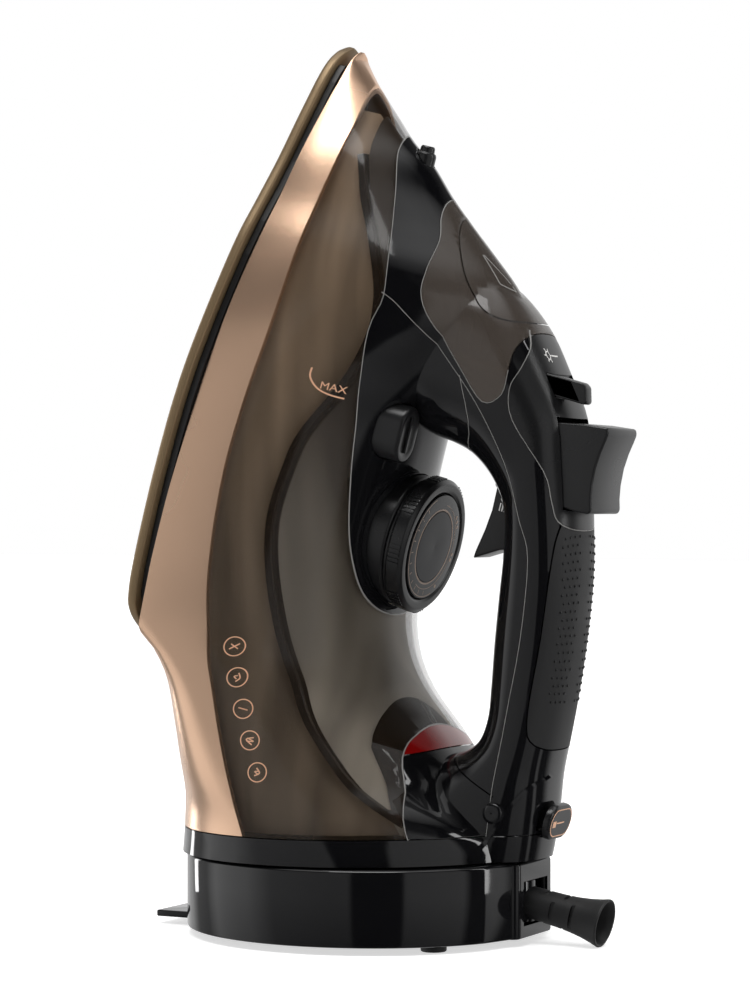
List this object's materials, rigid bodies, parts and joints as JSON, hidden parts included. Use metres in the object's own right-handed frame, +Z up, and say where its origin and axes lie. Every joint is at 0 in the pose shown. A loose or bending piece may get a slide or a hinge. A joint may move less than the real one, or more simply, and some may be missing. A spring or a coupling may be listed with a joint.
{
  "type": "steam iron with power base",
  "caption": "Steam iron standing on its heel in a low power base, with a see-through tank, loop handle, dial, spray button, trigger, lever and filling door.",
  "frame": {"origin": "centre of the bounding box at the level of the feet", "axes": "+Z up, along the standing iron towards its tip; +X from the soleplate side towards the handle and cord guard; +Y across"},
  "size_m": [0.1642, 0.1272, 0.2956],
  "materials": {
    "polished_black": "polished",
    "satin_black": "satin",
    "soft_black": "matt",
    "rose_metal": "satin metallic lacquer",
    "sole_ceramic": "smooth ceramic coating",
    "smoked_clear": "polished, see-through",
    "lamp_red": "polished, see-through",
    "cast_aluminium": "as cast",
    "bright_steel": "bright",
    "brass": "machined",
    "nylon": "moulded",
    "board_green": "lacquered",
    "amber_clear": "see-through"
  },
  "bodies": {
    "power_base": {"base_housing": "satin_black", "base_bottom": "satin_black", "contact_block": "nylon", "base_screw_1": "bright_steel", "base_screw_2": "bright_steel", "base_screw_3": "bright_steel", "foot_1": "soft_black", "foot_2": "soft_black", "foot_3": "amber_clear"},
    "iron": {"clean_spring": "bright_steel", "contact_socket": "nylon", "control_board": "board_green", "control_panel": "satin_black", "dial_collar": "polished_black", "fill_funnel": "nylon", "front_window": "smoked_clear", "grip_pad": "soft_black", "handle_frame": "polished_black", "heat_shield": "satin_black", "heater_casting": "cast_aluminium", "heating_element": "bright_steel", "heel_plate": "satin_black", "heel_ring": "satin_black", "lamp_holder": "nylon", "lamp_lens": "lamp_red", "rear_panel": "polished_black", "rose_skirt": "rose_metal", "shaft_tube": "nylon", "side_housing": "polished_black", "soleplate": "sole_ceramic", "spray_nozzle": "satin_black", "spray_pump": "nylon", "spray_spring": "bright_steel", "spray_tube": "nylon", "steam_chamber_lid": "cast_aluminium", "steam_pump": "nylon", "steam_tube": "nylon", "tank_cover": "satin_black", "thermal_fuse": "cast_aluminium", "thermostat": "cast_aluminium", "trigger_pin": "bright_steel", "trigger_spring": "bright_steel", "upper_housing": "polished_black", "valve_seat": "brass", "water_tank": "smoked_clear"},
    "dial": {"dial_knob": "polished_black", "dial_cap": "satin_black", "thermostat_shaft": "cast_aluminium"},
    "lever": {"steam_lever": "satin_black"},
    "valve": {"valve_rod": "brass"},
    "spray_key": {"spray_button": "satin_black"},
    "trigger": {"steam_trigger": "satin_black"},
    "clean_key": {"clean_button": "satin_black"},
    "door": {"fill_door": "smoked_clear"},
    "lock": {"lock_slider": "satin_black", "lock_hook": "satin_black"},
    "guard": {"cord_guard": "soft_black"}
  },
  "joints": [
    {"name": "iron_lift", "type": "slide", "parent": "power_base", "child": "iron", "axis": [0, 0, 1], "range_m": [0, 0.08]},
    {"name": "dial_turn", "type": "hinge", "parent": "iron", "child": "dial", "pos_m": [-0.00086, 0, 0.1328], "axis": [0.9659, 0, -0.2588], "range_deg": [-135, 135]},
    {"name": "lever_slide", "type": "slide", "parent": "iron", "child": "lever", "axis": [0, 1, 0], "range_m": [0, 0.016]},
    {"name": "valve_lift", "type": "slide", "parent": "iron", "child": "valve", "axis": [0.9659, 0, -0.2588], "range_m": [0, 0.0025]},
    {"name": "spray_press", "type": "slide", "parent": "iron", "child": "spray_key", "axis": [-0.9659, 0, 0.2588], "range_m": [0, 0.004], "stiffness_N_per_m": 900, "deforming": ["spray_spring"]},
    {"name": "trigger_pull", "type": "hinge", "parent": "iron", "child": "trigger", "pos_m": [0.04439, 0, 0.14904], "axis": [0, -1, 0], "range_deg": [0, 9], "stiffness_Nm_per_rad": 0.4, "deforming": ["trigger_spring"]},
    {"name": "clean_press", "type": "slide", "parent": "iron", "child": "clean_key", "axis": [-0.9659, 0, 0.2588], "range_m": [0, 0.0025], "stiffness_N_per_m": 900, "deforming": ["clean_spring"]},
    {"name": "door_open", "type": "hinge", "parent": "iron", "child": "door", "pos_m": [0.02712, 0, 0.23991], "axis": [0, -1, 0], "range_deg": [0, 75]},
    {"name": "lock_slide", "type": "slide", "parent": "iron", "child": "lock", "axis": [0, -1, 0], "range_m": [0, 0.0045]},
    {"name": "guard_swing", "type": "hinge", "parent": "power_base", "child": "guard", "pos_m": [0.04287, 0, 0.0148], "axis": [0, 0, 1], "range_deg": [-20, 20]}
  ],
  "couplings": [
    {"joint": "valve_lift", "follows": "lever_slide", "ratio": 0.15625}
  ]
}
